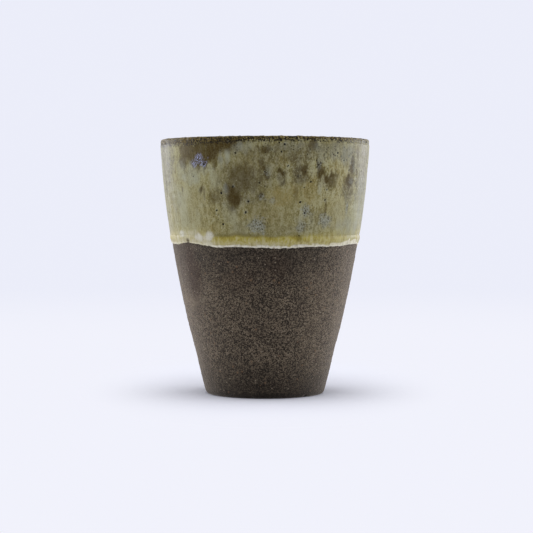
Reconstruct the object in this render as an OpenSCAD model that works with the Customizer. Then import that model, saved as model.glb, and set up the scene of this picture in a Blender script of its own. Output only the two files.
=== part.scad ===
// Yunomi tea cup: a tapered stoneware tumbler with no handle, dipped upside down in glaze.
// The clay is one thrown and trimmed piece. The glaze is a set of thin glassy coats that are
// fused on to it, and each coat is a solid of its own that lies face to face with its neighbours.
// Frame: +Z up, origin on the table, at the centre of the ring that the cup stands on.

/* [Clay body] */
// Height of the fired clay, from the table to the top of the lip
clay_height = 96.7; // [80:0.1:120]
// Outside diameter of the clay at the lip
lip_diameter = 79.4; // [66:0.2:96]
// Outside diameter of the wall where it is carried down to the table
foot_diameter = 45; // [36:0.2:54]
// Thickness of the clay wall at the lip
lip_thickness = 2.8; // [2:0.1:4.5]
// Rounding of the two edges of the lip
lip_edge_radius = 0.6; // [0.3:0.1:0.9]
// Thickness of the clay wall where it is carried down to the table
heel_thickness = 4.4; // [3:0.1:7]
// Thickness of the clay floor at the centre
floor_thickness = 5; // [3:0.1:9]
// Height over which the inside of the floor rounds up into the wall
well_height = 12; // [6:0.5:20]

/* [Trimmed foot] */
// Rounding of the edge between the wall and the table
heel_radius = 1.5; // [0.6:0.1:3.5]
// Width of the flat ring that the cup stands on
foot_ring_width = 5; // [3:0.1:8]
// Depth of the hollow that is trimmed under the floor
foot_hollow_depth = 1.8; // [0.8:0.1:4]

/* [Glaze dips] */
// Depth of the first dip, from the lip down to the edge of the glaze
base_dip_depth = 39.8; // [25:0.1:60]
// Height of the pale line at the very edge of the glaze
cream_edge_height = 1.1; // [0.5:0.1:2.5]
// Height of the amber roll that stays bare between the pale line and the second dip
amber_roll_height = 2.5; // [1.5:0.1:6]
// Depth of the rim dip that breaks brown over the lip
rim_dip_depth = 2.4; // [1.6:0.1:8]

/* [Glaze thickness] */
// Thickness of the first coat on the wall
base_glaze_thickness = 0.15; // [0.1:0.01:0.5]
// Thickness of the second coat on the wall
over_glaze_thickness = 0.15; // [0.1:0.01:0.5]
// Thickness of the coat inside the cup
liner_thickness = 0.3; // [0.15:0.01:0.8]
// Thickness of the pale line at its upper edge
cream_edge_thickness = 0.3; // [0.15:0.01:0.8]
// How far the amber roll swells past the coats beside it
amber_roll_swell = 0.35; // [0.1:0.01:0.8]

/* [Hidden] */

// Facets of a full turn, and of each stretch of the outline
turn_facets = 192;
bare_wall_steps = 14;
cream_edge_steps = 5;
amber_roll_steps = 8;
coat_steps = 10;
rim_steps = 2;
lip_steps = 7;
bore_steps = 18;
well_steps = 14;
heel_steps = 7;
hollow_steps = 5;

// Pull of the outside wall: how far its two middle control radii go from the foot to the lip
belly_share = 0.51;
shoulder_share = 0.905;

foot_r = foot_diameter / 2;
lip_r = lip_diameter / 2;
belly_r = foot_r + belly_share * (lip_r - foot_r);
shoulder_r = foot_r + shoulder_share * (lip_r - foot_r);
wall_top = clay_height - lip_edge_radius;

// The heel's round touches the table and the wall, which leans out from it by heel_lean
heel_lean = atan(3 * (belly_r - foot_r) / wall_top);
stand_r = foot_r - heel_radius / tan((90 + heel_lean) / 2);
heel_top = heel_radius * (1 - sin(heel_lean));
hollow_r = stand_r - foot_ring_width;

floor_z = foot_hollow_depth + floor_thickness;
well_top = floor_z + well_height;

// Heights where one coat ends and the next begins
glaze_line = clay_height - base_dip_depth;
cream_top = glaze_line + cream_edge_height;
over_line = cream_top + amber_roll_height;
rim_line = clay_height - rim_dip_depth;
coat_thickness = base_glaze_thickness + over_glaze_thickness;

// Radius of the outside of the clay at a height: a cubic curve over four control radii
function wall_r(z) =
    let (up = z / wall_top, down = 1 - up)
    foot_r * down ^ 3 + 3 * belly_r * down ^ 2 * up + 3 * shoulder_r * down * up ^ 2 + lip_r * up ^ 3;

// Thickness of the clay wall at a height, and the radius of its inside
function wall_thickness(z) = heel_thickness + (lip_thickness - heel_thickness) * z / wall_top;
function bore_r(z) = wall_r(z) - wall_thickness(z);

// Evenly spaced values from one value to another, both ends included
function stretch(from, to, steps) = [for (i = [0 : steps]) from + (to - from) * i / steps];
function backwards(list) = [for (i = [len(list) - 1 : -1 : 0]) list[i]];
function mix(from, to, share) = from + (to - from) * share;

// Points of an arc about a centre
function arc(centre, radius, from, to, steps) =
    [for (a = stretch(from, to, steps)) centre + radius * [cos(a), sin(a)]];

// Stretches of the outline that the clay and its coats share, from the foot up
bare_heights = stretch(heel_top, glaze_line, bare_wall_steps);
cream_heights = stretch(glaze_line, cream_top, cream_edge_steps);
roll_heights = stretch(cream_top, over_line, amber_roll_steps);
coat_heights = stretch(over_line, rim_line, coat_steps);
rim_heights = stretch(rim_line, wall_top, rim_steps);
bore_heights = stretch(well_top, rim_line, bore_steps);
outer_lip_centre = [lip_r - lip_edge_radius, wall_top];
inner_lip_centre = [lip_r - lip_thickness + lip_edge_radius, wall_top];
outer_lip_angles = stretch(0, 90, lip_steps);
inner_lip_angles = stretch(90, 180, lip_steps);
well_angles = stretch(0, 90, well_steps);

// Outside of the clay, or of a coat that is so thick over it, at each height
function outside(heights, thick = 0) = [for (z = heights) [wall_r(z) + thick, z]];
// Inside of the clay, or of a coat that is so thick over it, at each height
function inside(heights, thick = 0) = [for (z = heights) [bore_r(z) - thick, z]];
// Round edge of the lip under a coat that changes evenly from its outer to its inner thickness
function lip_edge(centre, angles, outer_thick, inner_thick) =
    [for (a = angles) centre + (lip_edge_radius + mix(outer_thick, inner_thick, a / 180)) * [cos(a), sin(a)]];
// Both edges of the lip, from the outside to the inside
function lip(outer_thick = 0, inner_thick = 0) = concat(
    lip_edge(outer_lip_centre, outer_lip_angles, outer_thick, inner_thick),
    lip_edge(inner_lip_centre, inner_lip_angles, outer_thick, inner_thick)
);
// Rounded bottom of the well, from the axis out to the wall
function well(thick = 0) =
    [for (a = well_angles)
        let (z = floor_z + well_height * (1 - cos(a)))
        [(bore_r(z) - thick) * sin(a), z + thick * cos(a)]];

// Share of its full thickness that the pale line has at a share of its height: a round edge
function cream_round(share) = sqrt(1 - (1 - share) ^ 2);
// Thickness of the amber roll at a share of its height: it swells past the coats above and below
function roll_thickness(share) =
    mix(cream_edge_thickness, coat_thickness, share) + amber_roll_swell * sin(180 * share);

module turned(points) {
    rotate_extrude($fn = turn_facets) polygon(points);
}

// Thrown clay: wall, floor, trimmed foot and rounded lip in one piece
module stoneware_body() {
    hollow_centre = [hollow_r - foot_hollow_depth, 0];
    heel_centre = [stand_r, heel_radius];
    color("#4b433b")
    turned(concat(
        [[0, foot_hollow_depth]],
        backwards(arc(hollow_centre, foot_hollow_depth, 0, 90, hollow_steps)),
        arc(heel_centre, heel_radius, -90, -heel_lean, heel_steps),
        outside(bare_heights),
        outside(cream_heights),
        outside(roll_heights),
        outside(coat_heights),
        outside(rim_heights),
        lip(),
        inside(backwards(rim_heights)),
        inside(backwards(bore_heights)),
        backwards(well())
    ));
}

// First coat: amber glaze, which stays visible as a fat roll under the second coat
module base_glaze() {
    roll_face = [for (z = roll_heights)
        [wall_r(z) + roll_thickness((z - cream_top) / amber_roll_height), z]];
    color("#90874f")
    turned(concat(
        outside(backwards(coat_heights)),
        outside(backwards(roll_heights)),
        roll_face,
        outside(coat_heights, base_glaze_thickness)
    ));
}

// Second coat: grey-green glaze over the first, down to the top of the amber roll
module over_glaze() {
    color("#7f7a5c")
    turned(concat(
        outside(backwards(coat_heights), base_glaze_thickness),
        outside(coat_heights, coat_thickness)
    ));
}

// Pale line where the glaze thins out to a round edge on the bare clay
module cream_edge() {
    edge_face = [for (z = cream_heights)
        [wall_r(z) + cream_edge_thickness * cream_round((z - glaze_line) / cream_edge_height), z]];
    color("#c3bda2")
    turned(concat(outside(backwards(cream_heights)), edge_face));
}

// Rim coat: thin iron-brown glaze over the lip, which joins the outer coats to the liner
module rim_glaze() {
    color("#5b5033")
    turned(concat(
        outside(rim_heights, coat_thickness),
        lip(coat_thickness, liner_thickness),
        inside(backwards(rim_heights), liner_thickness),
        inside(rim_heights),
        backwards(lip()),
        outside(backwards(rim_heights))
    ));
}

// Liner: glaze over the whole inside of the cup, below the rim coat
module inner_glaze() {
    color("#837e5e")
    turned(concat(
        well(),
        inside(bore_heights),
        inside(backwards(bore_heights), liner_thickness),
        backwards(well(liner_thickness))
    ));
}

stoneware_body();
base_glaze();
over_glaze();
cream_edge();
rim_glaze();
inner_glaze();
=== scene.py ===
# %% [markdown]
# # A yunomi tea cup
# A potter throws this cup on a wheel from coarse dark clay, trims its foot and fires it. Then the
# potter holds it by the foot and dips it upside down: first in an amber glaze, then a little less
# deep in a grey-green one, and last only the lip in a thin iron wash. In the kiln the coats melt,
# run down and pile up at their edge. This lesson gives each of those layers its own mesh and finish.
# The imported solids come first, because the layers are measured on them.

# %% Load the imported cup
import math
import random

import bmesh
import bpy
import numpy as np
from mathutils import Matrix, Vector, noise
from mathutils.bvhtree import BVHTree


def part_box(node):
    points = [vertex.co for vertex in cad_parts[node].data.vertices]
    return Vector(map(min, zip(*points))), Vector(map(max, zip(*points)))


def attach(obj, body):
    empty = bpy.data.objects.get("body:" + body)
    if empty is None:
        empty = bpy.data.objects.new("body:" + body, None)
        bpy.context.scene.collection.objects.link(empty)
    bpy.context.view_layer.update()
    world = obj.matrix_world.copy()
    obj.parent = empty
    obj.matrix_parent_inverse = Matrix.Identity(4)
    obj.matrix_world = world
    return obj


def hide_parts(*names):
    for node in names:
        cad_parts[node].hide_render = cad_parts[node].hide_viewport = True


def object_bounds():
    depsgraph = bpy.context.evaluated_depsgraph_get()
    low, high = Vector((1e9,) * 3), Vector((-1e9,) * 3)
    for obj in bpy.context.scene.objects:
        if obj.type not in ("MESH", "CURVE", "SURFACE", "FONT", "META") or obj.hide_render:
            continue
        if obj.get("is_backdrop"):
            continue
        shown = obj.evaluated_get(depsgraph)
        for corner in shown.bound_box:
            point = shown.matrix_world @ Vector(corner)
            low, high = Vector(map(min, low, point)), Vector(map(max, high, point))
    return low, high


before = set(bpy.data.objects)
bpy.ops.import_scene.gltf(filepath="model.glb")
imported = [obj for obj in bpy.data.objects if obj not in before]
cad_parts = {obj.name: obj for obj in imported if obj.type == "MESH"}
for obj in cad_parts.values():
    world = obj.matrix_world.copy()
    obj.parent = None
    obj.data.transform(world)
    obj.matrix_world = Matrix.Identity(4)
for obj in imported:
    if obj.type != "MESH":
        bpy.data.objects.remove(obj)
cad_low, cad_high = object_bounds()
MM = 0.001
cup_height = cad_high.z


def say_mm(what, *sizes):
    print(f"{what}, in mm:", *(round(size / MM, 2) for size in sizes))


say_mm("packed cup", *(cad_high - cad_low))

# %% [markdown]
# ## Camera
# The photograph looks at the cup from a little below its rim, so only the outside shows. Two things
# fix such a view: how flat the curves of the rim and the foot look, and how far apart they are. They
# put the eye 6.5 cup heights away. A long lens then frames the cup, with a slight tilt down.

# %% Camera
PHOTO_SIDE = 533
FOCAL_PIXELS = 1642
HORIZON_ABOVE_MIDDLE = 56.2
AXIS_LEFT_OF_MIDDLE = 1.55
EYE_AWAY = 630 * MM
EYE_HEIGHT = 70 * MM

camera_data = bpy.data.cameras.new("camera")
camera_data.lens = FOCAL_PIXELS / PHOTO_SIDE * camera_data.sensor_width
camera = bpy.data.objects.new("camera", camera_data)
camera.location = (AXIS_LEFT_OF_MIDDLE / FOCAL_PIXELS * EYE_AWAY, -EYE_AWAY, EYE_HEIGHT)
tilt_down = math.atan(HORIZON_ABOVE_MIDDLE / FOCAL_PIXELS)
camera.rotation_euler = (math.radians(90) - tilt_down, 0, 0)
bpy.context.scene.collection.objects.link(camera)
bpy.context.scene.camera = camera
bpy.context.scene.view_settings.view_transform = "Standard"
print("lens in mm:", round(camera_data.lens, 1), "tilt:", round(math.degrees(tilt_down), 2))

# %% [markdown]
# ## A kit for finishes
# Every finish here is a material of nodes. Written out one node at a time, such a material fills
# pages, so these classes add a node for each short call and hand back its output, ready for the
# next call. Patterns read Object coordinates, which are metres in the cup's own frame.

# %% Kit for nodes
class Nodes:
    """A tree of nodes that grows by short calls, each of which adds a node and returns its output."""

    def __init__(self, tree):
        self.tree = tree

    def add(self, kind, inputs=None, **settings):
        node = self.tree.nodes.new(kind)
        for key, value in settings.items():
            setattr(node, key, value)
        for key, value in (inputs or {}).items():
            self.feed(node.inputs[key], value)
        return node

    def feed(self, socket, value):
        """Feeds a socket. A name stands for the value that the mesh carries under that name."""
        if isinstance(value, str):
            value = self.add("ShaderNodeAttribute", attribute_name=value).outputs["Fac"]
        if isinstance(value, bpy.types.NodeSocket):
            self.tree.links.new(value, socket)
        elif hasattr(value, "__len__") and len(socket.default_value) == 4:
            socket.default_value = (*value, 1)
        else:
            socket.default_value = value

    def level(self, value, low, high, start=0, end=1):
        """Maps low to start and high to end, with a soft curve and nothing beyond."""
        inputs = {"Value": value, "From Min": low, "From Max": high, "To Min": start, "To Max": end}
        return self.add("ShaderNodeMapRange", inputs, interpolation_type="SMOOTHSTEP").outputs[0]

    def reckon(self, operation, value, *others):
        """Adds up, multiplies or compares values, one after another."""
        for other in others:
            value = self.add("ShaderNodeMath", {0: value, 1: other}, operation=operation).outputs[0]
        return value

    def layers(self, colour, *rows):
        """Lays colours over one another. A row is a colour and then amounts from 0 to 1, whose
        product says how much of that colour shows."""
        for over, *amounts in rows:
            inputs = {0: self.reckon("MULTIPLY", *amounts), 6: colour, 7: over}
            colour = self.add("ShaderNodeMix", inputs, data_type="RGBA").outputs[2]
        return colour


print("node kit ready")

# %% Kit for finishes
class Finish(Nodes):
    """A material made of such nodes."""

    def __init__(self, name):
        self.material = bpy.data.materials.new(name)
        self.material.use_nodes = True
        super().__init__(self.material.node_tree)
        self.shader = self.tree.nodes["Principled BSDF"]
        self.place = self.add("ShaderNodeTexCoord").outputs["Object"]

    def clouds(self, size, detail, rough, upwards=1):
        """Soft noise from 0 to 1 with lumps of about this size, drawn out this many times upwards."""
        inputs = {"Vector": self.place, "Scale": (1, 1, 1 / upwards)}
        place = self.add("ShaderNodeMapping", inputs).outputs[0]
        inputs = {"Vector": place, "Scale": 1 / size, "Detail": detail, "Roughness": rough}
        return self.add("ShaderNodeTexNoise", inputs).outputs[0]

    def lots(self, size):
        """A lot from 0 to 1 for every grain of this size, and the distance to the grain's middle."""
        node = self.add("ShaderNodeTexVoronoi", {"Vector": self.place, "Scale": 1 / size})
        lot = self.add("ShaderNodeSeparateColor", {"Color": node.outputs["Color"]}).outputs[0]
        return lot, node.outputs["Distance"]

    def grains(self, size, share, reach, core=0.4):
        """1 in the core of a share of the grains of this size, falling to 0 at their reach."""
        lot, distance = self.lots(size)
        chosen = self.reckon("LESS_THAN", lot, share)
        return self.reckon("MULTIPLY", chosen, self.level(distance, reach, core * reach))

    def ramp(self, value, *stops):
        """A colour for each value, from stops of (value, colour)."""
        node = self.add("ShaderNodeValToRGB", {"Fac": value})
        elements = node.color_ramp.elements
        while len(elements) < len(stops):
            elements.new(1)
        for element, (position, colour) in zip(elements, stops):
            element.position = position
            element.color = (*colour, 1)
        return node.outputs["Color"]

    def finish(self, colour, roughness, shine, height, depth, strength):
        """Feeds the shader, shows height as relief of this depth, and returns the material."""
        inputs = {"Height": height, "Distance": depth, "Strength": strength}
        self.feed(self.shader.inputs["Normal"], self.add("ShaderNodeBump", inputs).outputs[0])
        self.feed(self.shader.inputs["Base Color"], colour)
        self.feed(self.shader.inputs["Roughness"], roughness)
        self.feed(self.shader.inputs["Specular IOR Level"], shine)
        return self.material


print("finish kit ready")

# %% [markdown]
# ## Stage and light
# The cup stands on a plain pale floor that fills the view. A floor that runs to the horizon would
# show a line there, so to the eye the floor turns, with distance, into the pale colour of the world
# behind. That turn starts a few centimetres from the cup, in an oval set a little behind it: there the
# flat pale is painted light over the long shadows of the lamps, so only the near part of the cup's
# shadow shows. Within a quarter metre of the cup the pale is brighter, a painted pool of light. For
# the light it stays a plain floor, so that none of this brightens the cup.
# Big soft panels stand low at both sides, a little behind the cup: they light its flanks and leave
# the side towards the eye darker, which makes a round form look round. The lamp above lights the
# floor. A lamp is listed as its place and the size of its panel in metres, and its strength in watts.

# %% Floor
PALE = (0.835, 0.85, 0.95)
PAINTED_POOL_PALE = (0.88, 0.888, 0.97)
PALE_BEYOND = (0.25, 0.9)
FLOOR_REACH = 8.0
FLOOR_CORNERS = 96
SHADOW_BEHIND = 0.033
SHADOW_DEEP = 1.9
FADE_BEYOND = (0.025, 0.074)

bm = bmesh.new()
bmesh.ops.create_circle(bm, cap_ends=True, segments=FLOOR_CORNERS, radius=FLOOR_REACH)
floor_mesh = bpy.data.meshes.new("floor")
bm.to_mesh(floor_mesh)
bm.free()
floor = bpy.data.objects.new("floor", floor_mesh)
bpy.context.scene.collection.objects.link(floor)
floor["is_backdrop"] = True


def eye_sees(nodes):
    """1 for rays from the eye, straight or by way of a mirror or glass, and 0 for rays of light."""
    rays = nodes.add("ShaderNodeLightPath").outputs
    kinds = (rays[f"Is {kind} Ray"] for kind in ("Camera", "Glossy", "Transmission"))
    return nodes.reckon("MAXIMUM", *kinds)


ground = Finish("pale_floor")
oval = {"Vector": ground.place, "Scale": (1, 1 / SHADOW_DEEP, 1)}
oval["Location"] = (0, -SHADOW_BEHIND / SHADOW_DEEP, 0)
shadow_place = ground.add("ShaderNodeMapping", oval).outputs[0]
away, from_shadow = (
    ground.add("ShaderNodeVectorMath", {0: place}, operation="LENGTH").outputs["Value"]
    for place in (ground.place, shadow_place)
)
lit = ground.add("ShaderNodeBsdfDiffuse", {"Color": PALE}).outputs[0]
# Within a quarter metre of the cup the eye sees a brighter pale: a painted pool of light.
far_colour = ground.layers(PAINTED_POOL_PALE, (PALE, ground.level(away, *PALE_BEYOND)))
pale = ground.add("ShaderNodeEmission", {"Color": far_colour}).outputs[0]
# From a few centimetres off the cup the eye sees the flat pale, painted light over the far part of the
# lamps' shadows.
fade = ground.reckon("MULTIPLY", ground.level(from_shadow, *FADE_BEYOND), eye_sees(ground))
fading = ground.add("ShaderNodeMixShader", {0: fade, 1: lit, 2: pale}).outputs[0]
ground.feed(ground.tree.nodes["Material Output"].inputs["Surface"], fading)
floor_mesh.materials.append(ground.material)
print("floor reaches, in m:", FLOOR_REACH)

# %% World
AMBIENT = (0.2, 0.2, 0.21)
world = bpy.data.worlds.new("pale_studio")
bpy.context.scene.world = world
world.use_nodes = True
sky = Nodes(world.node_tree)
sky.feed(sky.tree.nodes["Background"].inputs["Color"], sky.layers(AMBIENT, (PALE, eye_sees(sky))))
print("light from all round:", AMBIENT)

# %% Lamps
LAMPS = {
    "left_softbox": ((-1, 0.42, 0.28), (1.4, 0.56), 9.2),
    "right_softbox": ((1, 0.42, 0.28), (1.4, 0.56), 9.6),
    "top_softbox": ((0, -0.05, 0.9), (0.8, 0.8), 5.6),
}
for name, (place, panel, watts) in LAMPS.items():
    lamp = bpy.data.lights.new(name, "AREA")
    lamp.shape = "RECTANGLE"
    lamp.size, lamp.size_y = panel
    lamp.energy = watts
    box = bpy.data.objects.new(name, lamp)
    box.location = place
    aim = Vector((0, 0, cup_height / 2)) - Vector(place)
    box.rotation_euler = aim.to_track_quat("-Z", "Y").to_euler()
    box.visible_camera = False
    bpy.context.scene.collection.objects.link(box)
print("lamps:", len(LAMPS))

# %% [markdown]
# ## Measure the solids
# The coats are only a few tenths of a millimetre thick, so a guess would leave gaps or let one layer
# poke through the next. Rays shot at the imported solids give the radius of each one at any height.

# %% Measure the solids
RAY_TURN = 0.1
RAY_WAY = Vector((math.cos(RAY_TURN), math.sin(RAY_TURN), 0))
UP = Vector((0, 0, 1))
FAR_OUT = 3 * cad_high.x
depsgraph = bpy.context.evaluated_depsgraph_get()
trees = {name: BVHTree.FromObject(node, depsgraph) for name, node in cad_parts.items()}


def outer_radius(node, height):
    return trees[node].ray_cast(RAY_WAY * FAR_OUT + UP * height, -RAY_WAY)[0].xy.length


def inner_radius(node, height):
    return trees[node].ray_cast(UP * height, RAY_WAY)[0].xy.length


def floor_height(node, radius):
    return trees[node].ray_cast(RAY_WAY * radius + UP * FAR_OUT, -UP)[0].z


def underside_height(node, radius):
    return trees[node].ray_cast(RAY_WAY * radius - UP * FAR_OUT, UP)[0].z


glaze_line, cream_top = (corner.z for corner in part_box("cream_edge"))
over_line, rim_line = (corner.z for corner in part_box("over_glaze"))
clay_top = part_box("stoneware_body")[1].z
wall_middle = (over_line + rim_line) / 2
base_thick = outer_radius("base_glaze", wall_middle) - outer_radius("stoneware_body", wall_middle)
coat_thick = outer_radius("over_glaze", wall_middle) - outer_radius("stoneware_body", wall_middle)
say_mm("edges of the dips, from low to high", glaze_line, cream_top, over_line, rim_line)
say_mm("first dip and both dips", base_thick, coat_thick)

# %% The wall as a curve
HAIR = 0.01 * MM
WALL_SAMPLES = 700
WALL_HEIGHTS = np.linspace(5 * HAIR, clay_top - 2 * HAIR, WALL_SAMPLES)
WALL_RADII = np.array([outer_radius("stoneware_body", height) for height in WALL_HEIGHTS])


def wall_radius(height):
    """Outside radius of the clay at one height or at many."""
    return np.interp(height, WALL_HEIGHTS, WALL_RADII)


say_mm("wall radius at the foot and the lip", WALL_RADII[0], WALL_RADII[-1])

# %% [markdown]
# ## Turning a piece
# Everything on this cup was made on a wheel, so every piece starts as half a section that is spun
# about the axis. One sector is spun in fine steps and then repeated, which is much quicker than one
# long spin. Hand work then goes into the points of the mesh: turn is the angle from the front, which
# is where the eye is, and height is above the table. The map named OFBake unrolls a piece like a
# label off a tin, with the cut at the back.

# %% Turning a piece
SECTORS = 16
SAME_POINT = 0.001 * MM


def turned(name, section, steps, ring=True):
    """Spins a section of (radius, height) points one full turn. A ring's section closes on itself."""
    bm = bmesh.new()
    row_of = bm.verts.layers.float.new("row")
    chain = []
    for row, (radius, height) in enumerate(section):
        point = bm.verts.new((0, radius, height))
        point[row_of] = row
        chain.append(point)
    pairs = list(zip(chain, chain[1:]))
    if ring:
        pairs.append((chain[-1], chain[0]))
    edges = [bm.edges.new(pair) for pair in pairs]
    sector = math.tau / SECTORS
    about = {"cent": (0, 0, 0), "axis": (0, 0, 1)}
    bmesh.ops.spin(bm, geom=chain + edges, angle=sector, steps=steps // SECTORS, **about)
    whole = bm.verts[:] + bm.edges[:] + bm.faces[:]
    rest = {"angle": math.tau - sector, "steps": SECTORS - 1, "use_duplicate": True}
    bmesh.ops.spin(bm, geom=whole, **rest, **about)
    bmesh.ops.remove_doubles(bm, verts=bm.verts, dist=SAME_POINT)
    bmesh.ops.recalc_face_normals(bm, faces=bm.faces)
    for face in bm.faces:
        face.smooth = True
    for edge in bm.edges:
        edge.smooth = not ring or any(point[row_of] > 0 for point in edge.verts)
    mesh = bpy.data.meshes.new(name)
    bm.to_mesh(mesh)
    bm.free()
    unroll(mesh, len(section) if ring else len(section) - 1)
    piece = bpy.data.objects.new(name, mesh)
    bpy.context.scene.collection.objects.link(piece)
    return piece


def unroll(mesh, rows):
    """Lays the mesh out flat: the turn runs across and the rows of the section run up."""
    corners = read(mesh.loops, "vertex_index", np.int32)
    counts = read(mesh.polygons, "loop_total", np.int32)
    face_of = np.repeat(np.arange(len(counts)), counts)
    face_turn = turn_of(read(mesh.polygons, "center").reshape(-1, 3))[face_of]
    _, _, turn, row = shape_of(mesh)
    turn = face_turn + (turn[corners] - face_turn + math.pi) % math.tau - math.pi
    row = row[corners]
    first = row[np.cumsum(counts) - counts][face_of]
    up = first + (row - first + rows / 2) % rows - rows / 2
    flat = np.stack([turn / math.tau + 0.5, (up + 0.5) / (rows + 1)], axis=1)
    flat = np.clip(flat, 0, 1).astype(np.float32)
    mesh.uv_layers.new(name="OFBake").data.foreach_set("uv", flat.ravel())


print("a sector is", 360 / SECTORS, "degrees")

# %% Reading and writing points
def read(things, what, kind=np.float32):
    """One flat array of what each thing holds."""
    size = 3 if what in ("co", "center", "vector") else 1
    values = np.zeros(len(things) * size, kind)
    things.foreach_get(what, values)
    return values


def turn_of(points):
    return np.arctan2(points[:, 0], -points[:, 1])


def shape_of(mesh):
    """The points of a mesh, and for each one its normal, its turn and its row in the section."""
    points = read(mesh.vertices, "co").reshape(-1, 3).astype(float)
    normals = read(mesh.vertex_normals, "vector").reshape(-1, 3).astype(float)
    return points, normals, turn_of(points), read(mesh.attributes["row"].data, "value")


def write_points(mesh, points):
    mesh.vertices.foreach_set("co", points.astype(np.float32).ravel())
    mesh.update()


def paint(mesh, name, values):
    """Keeps a value at every point of the mesh, for the finish to read."""
    mesh.attributes.new(name, "FLOAT", "POINT").data.foreach_set("value", values.astype(np.float32))


def around(turn, radius, height):
    """Points at these turns, radii and heights."""
    return np.stack([np.sin(turn) * radius, -np.cos(turn) * radius, height], axis=1)


print("point kit ready")

# %% Noise on points
GRAIN_FALL = 1.6
LOT_STRIDE = 7.3


def lumps(points, size, upwards=1, octaves=1):
    """Noise from about -1 to 1, with lumps of this size, drawn out upwards."""
    scaled = (points / (size, size, size * upwards)).tolist()
    if octaves == 1:
        return np.array([noise.noise(point) for point in scaled])
    return np.array([noise.fractal(point, 1, 2, octaves) for point in scaled])


def grit(points, size):
    """How near each point is to the middle of its grain, from 0 to 1, and a lot for that grain."""
    found = [noise.voronoi(point) for point in (points / size).tolist()]
    near = np.clip(1 - GRAIN_FALL * np.array([distances[0] for distances, _ in found]), 0, 1)
    lot = np.array([noise.cell(middles[0] * LOT_STRIDE) for _, middles in found])
    return near, 0.5 + 0.5 * lot


def soft_step(values, low, high):
    share = np.clip((values - low) / (high - low), 0, 1)
    return share * share * (3 - 2 * share)


def across_from(turn, at_turn, at_height):
    """How far points lie to the side of a turn in degrees, along the wall at a height in mm."""
    apart = (turn - math.radians(at_turn) + math.pi) % math.tau - math.pi
    return apart * wall_radius(at_height * MM)


def mark(places, turn, height, edge, soft=0.7):
    """The strongest of these marks at every point, each a soft oval whose outline edge roughens.
    A place is a turn in degrees, then a height, a half width and a half height in mm, and a strength."""
    strongest = np.zeros_like(turn)
    for at_turn, at_height, half_wide, half_tall, strength in places:
        across = across_from(turn, at_turn, at_height) / (half_wide * MM)
        up = (height - at_height * MM) / (half_tall * MM)
        inside = 1 - np.hypot(across, up) + edge
        strongest = np.maximum(strongest, strength * soft_step(inside, -soft / 2, soft / 2))
    return strongest


print("noise kit ready")

# %% [markdown]
# ## Where the glaze stops
# A dipped edge is level with the bucket, not with the cup, and then it runs. So the line climbs on
# one side and sags on the other, with a small ragged wave on top. All the coats take this same shift,
# strongest at the line and gone a few millimetres above it, so they stay pressed together.
# The list gives the shift in mm for turns in degrees.

# %% Where the glaze stops
DIP_LINE = [
    (-180, 0.3), (-130, 0.2), (-95, 0.5), (-76, 0.55), (-67, 0.4), (-60, 0.9), (-54, 1.35),
    (-48, 0.95), (-36, 0.2), (-30, -0.4), (-18, -0.2), (-8, -0.3), (2, -0.5), (14, -0.6),
    (28, -0.1), (40, -0.2), (52, -0.05), (62, 0.45), (70, 0.6), (78, 0.55), (90, -0.1), (130, -0.3),
    (180, 0.3),
]
RAGGED = 0.16 * MM
RAGGED_WAVE = 2.6 * MM
RUN_OUT = 6 * MM
SEAM_WAVER = 0.45 * MM
SEAM_WAVE = 7 * MM


def around_cup(turn, pairs):
    """A value for every turn, from pairs of (turn in degrees, value)."""
    turns, values = zip(*pairs)
    return np.interp(np.degrees(turn), turns, values)


def wall_line(turn, height):
    """Points on the outside of the clay at these turns, all at one height."""
    return around(turn, wall_radius(height), np.full_like(turn, height))


def line_shift(turn):
    """How far the edge of the glaze climbs or sags at these turns."""
    ragged = RAGGED * lumps(wall_line(turn, glaze_line), RAGGED_WAVE, octaves=3)
    return MM * around_cup(turn, DIP_LINE) + ragged


def seam_shift(turn):
    """How far the edge of the second dip wavers at these turns."""
    return SEAM_WAVER * lumps(wall_line(turn, over_line), SEAM_WAVE, octaves=3)


def dip_shift(turn, height):
    """The shift of the glaze's edge, fading out above the line."""
    fade = np.clip(1 - (height - glaze_line) / RUN_OUT, 0, 1) ** 2
    return line_shift(turn) * fade


say_mm("dip line at the front", line_shift(np.zeros(1))[0])

# %% [markdown]
# ## The clay
# The body is coarse stoneware: iron-brown clay with sand and grog that stand up as pale grains and
# tear out as black pits. A bump map alone would leave the outline as smooth as glass, so the grains
# are real relief on a fine mesh, and the finish only adds what is smaller than its faces.
# Under the glaze the wall stays smooth, because nothing of it shows there.

# %% Section of the clay
CLAY_STEPS = 432
FLOOR_RINGS = 14
STAND_RINGS = 7
HEEL_HEIGHTS = np.array([0.06, 0.2, 0.42, 0.7, 1.0]) * MM
BARE_FROM = 1.32 * MM
BARE_ROW = 0.38 * MM
BARE_LAP = 2.2 * MM
SMOOTH_ROWS = 9
CLAY_LIP = 1.2 * MM
CLAY_LIP_ROWS = 6
WELL_RISE = 10 * MM
WELL_STEP = 0.5 * MM
corners = [point.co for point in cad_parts["stoneware_body"].data.vertices]
lowest = [corner.xy.length for corner in corners if corner.z < SAME_POINT]
ring_inside, ring_outside = min(lowest), max(lowest)
floor_top = floor_height("stoneware_body", 0)


def lip_heights(low, top, count):
    """Heights that crowd together towards the top, where a lip turns over."""
    return top - (top - low) * np.linspace(1, 0.03, count) ** 2


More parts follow.
